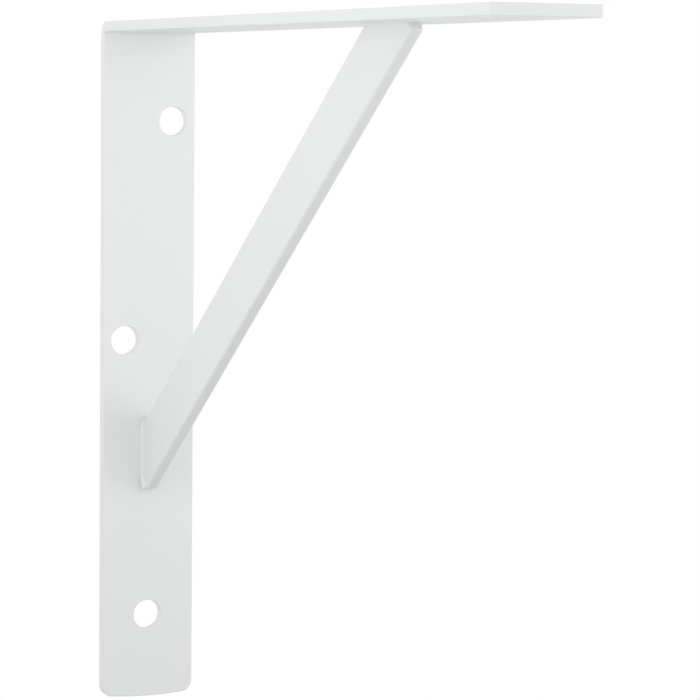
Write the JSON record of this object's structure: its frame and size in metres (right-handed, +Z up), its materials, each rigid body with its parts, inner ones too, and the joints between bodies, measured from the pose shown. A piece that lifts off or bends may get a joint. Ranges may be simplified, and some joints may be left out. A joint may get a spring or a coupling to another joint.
{
  "type": "braced l-bracket",
  "caption": "White coated steel L-bracket: a flat strip folded into a wall leg and a shelf arm, stiffened by a diagonal flat bar, with staggered screw holes.",
  "frame": {"origin": "centre of the leg's back face, on the wall plane", "axes": "+X out from the wall along the arm, +Y across the strip, +Z up towards the shelf"},
  "size_m": [0.25, 0.0286, 0.2],
  "materials": {
    "coated_steel": "satin white powder coat"
  },
  "bodies": {
    "root": {"angle_strip": "coated_steel", "diagonal_brace": "coated_steel"}
  },
  "joints": []
}
